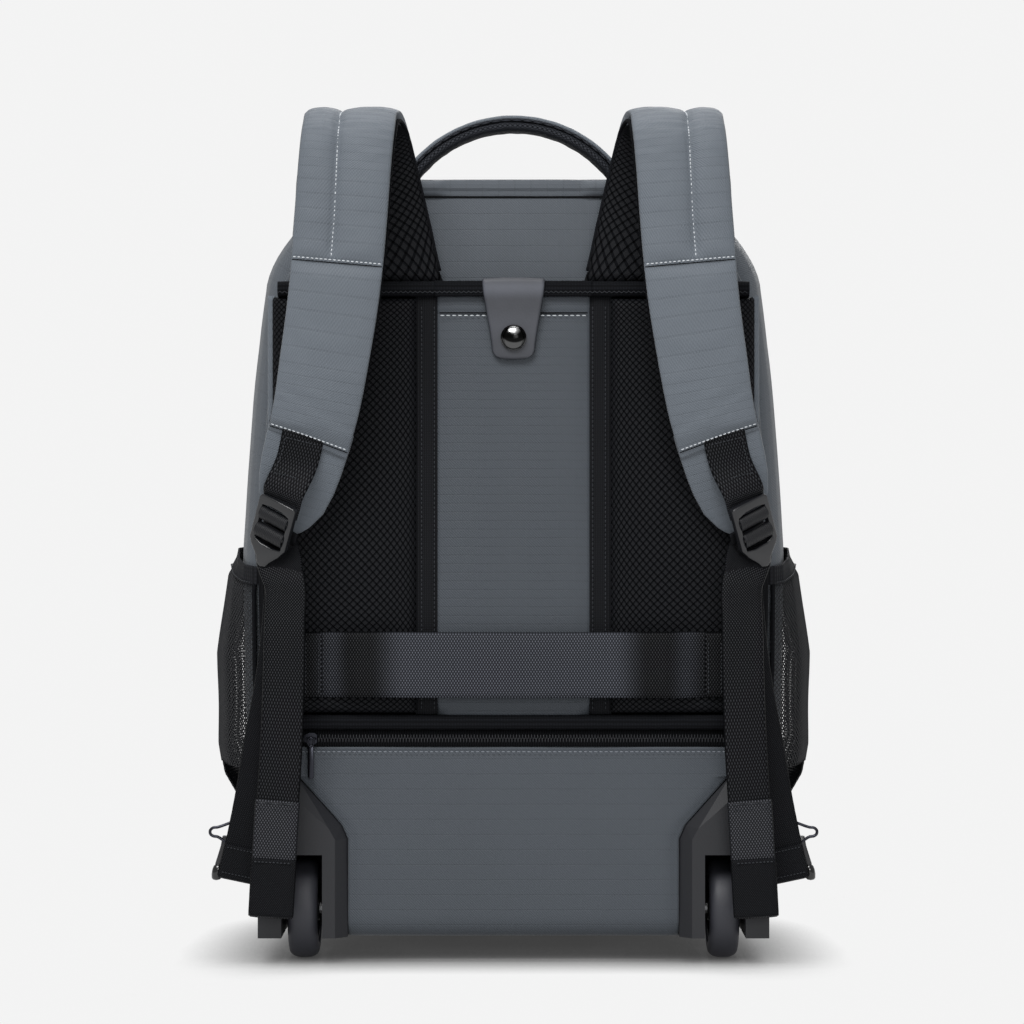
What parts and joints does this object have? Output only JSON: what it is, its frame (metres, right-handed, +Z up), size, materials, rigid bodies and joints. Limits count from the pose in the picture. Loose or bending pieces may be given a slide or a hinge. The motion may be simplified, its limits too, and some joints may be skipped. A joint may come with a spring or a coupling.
{
  "type": "wheeled backpack",
  "caption": "Soft backpack with padded back panel, shoulder straps, net side pockets, moulded wheel housings and a telescoping handle in a back sleeve.",
  "frame": {"origin": "middle of the bounding box at the ground, where the wheels and feet stand", "axes": "+Z up, the padded harness side faces -Y, +X runs to the right as seen from the harness side"},
  "size_m": [0.4072, 0.3132, 0.5659],
  "materials": {
    "grey_fabric": "coated ripstop weave, soft sheen",
    "dark_fabric": "coated twill weave",
    "air_mesh": "padded spacer mesh with staggered holes",
    "black_net": "open knitted net",
    "webbing": "woven webbing, slight sheen",
    "black_trim": "woven tape and binding",
    "plastic": "moulded, fine texture",
    "tyre": "matte rubber",
    "tab_leather": "smooth coated leather",
    "gloss_black": "polished black snap",
    "gunmetal": "dark plated",
    "steel": "plated wire and pins",
    "aluminium": "anodised tube"
  },
  "bodies": {
    "root": {"bag_shell": "grey_fabric", "front_pocket": "grey_fabric", "centre_panel": "grey_fabric", "carry_handle": "grey_fabric", "shoulder_strap_left": "grey_fabric", "shoulder_strap_right": "grey_fabric", "strap_tongue_left": "grey_fabric", "strap_tongue_right": "grey_fabric", "lower_pocket": "dark_fabric", "back_pad_left": "air_mesh", "back_pad_right": "air_mesh", "strap_mesh_left": "air_mesh", "strap_mesh_right": "air_mesh", "carry_handle_mesh": "air_mesh", "side_pocket_left": "black_net", "side_pocket_right": "black_net", "luggage_strap": "webbing", "upper_webbing_left": "webbing", "upper_webbing_right": "webbing", "webbing_tail_left": "webbing", "webbing_tail_right": "webbing", "anchor_webbing_left": "webbing", "anchor_webbing_right": "webbing", "main_zip": "black_trim", "front_zip": "black_trim", "lower_zip": "black_trim", "pad_binding": "black_trim", "lower_band": "black_trim", "pocket_elastic_left": "black_trim", "pocket_elastic_right": "black_trim", "wheel_housing_left": "plastic", "wheel_housing_right": "plastic", "ladder_lock_left": "plastic", "ladder_lock_right": "plastic", "side_hook_left": "plastic", "side_hook_right": "plastic", "foot_left": "plastic", "foot_right": "plastic", "base_plate": "plastic", "snap_tab": "tab_leather", "snap_button": "gloss_black", "main_zip_slider": "gunmetal", "main_zip_pull": "gunmetal", "front_zip_slider": "gunmetal", "front_zip_pull": "gunmetal", "lower_zip_slider": "gunmetal", "lower_zip_pull": "gunmetal", "side_ring_left": "steel", "side_ring_right": "steel", "axle_left": "steel", "axle_right": "steel", "trolley_outer": "aluminium"},
    "wheel_left": {"tyre_left": "tyre", "hub_left": "plastic"},
    "wheel_right": {"tyre_right": "tyre", "hub_right": "plastic"},
    "trolley_stage": {"trolley_stage": "aluminium"},
    "trolley_handle": {"trolley_handle": "plastic"}
  },
  "joints": [
    {"name": "wheel_left_spin", "type": "hinge", "parent": "root", "child": "wheel_left", "pos_m": [-0.14, -0.06763, 0.033], "axis": [1, 0, 0], "continuous": true},
    {"name": "wheel_right_spin", "type": "hinge", "parent": "root", "child": "wheel_right", "pos_m": [0.14, -0.06763, 0.033], "axis": [1, 0, 0], "continuous": true},
    {"name": "stage_slide", "type": "slide", "parent": "root", "child": "trolley_stage", "axis": [0, 0, 1], "range_m": [0, 0.2]},
    {"name": "handle_slide", "type": "slide", "parent": "trolley_stage", "child": "trolley_handle", "axis": [0, 0, 1], "range_m": [0, 0.2]}
  ]
}
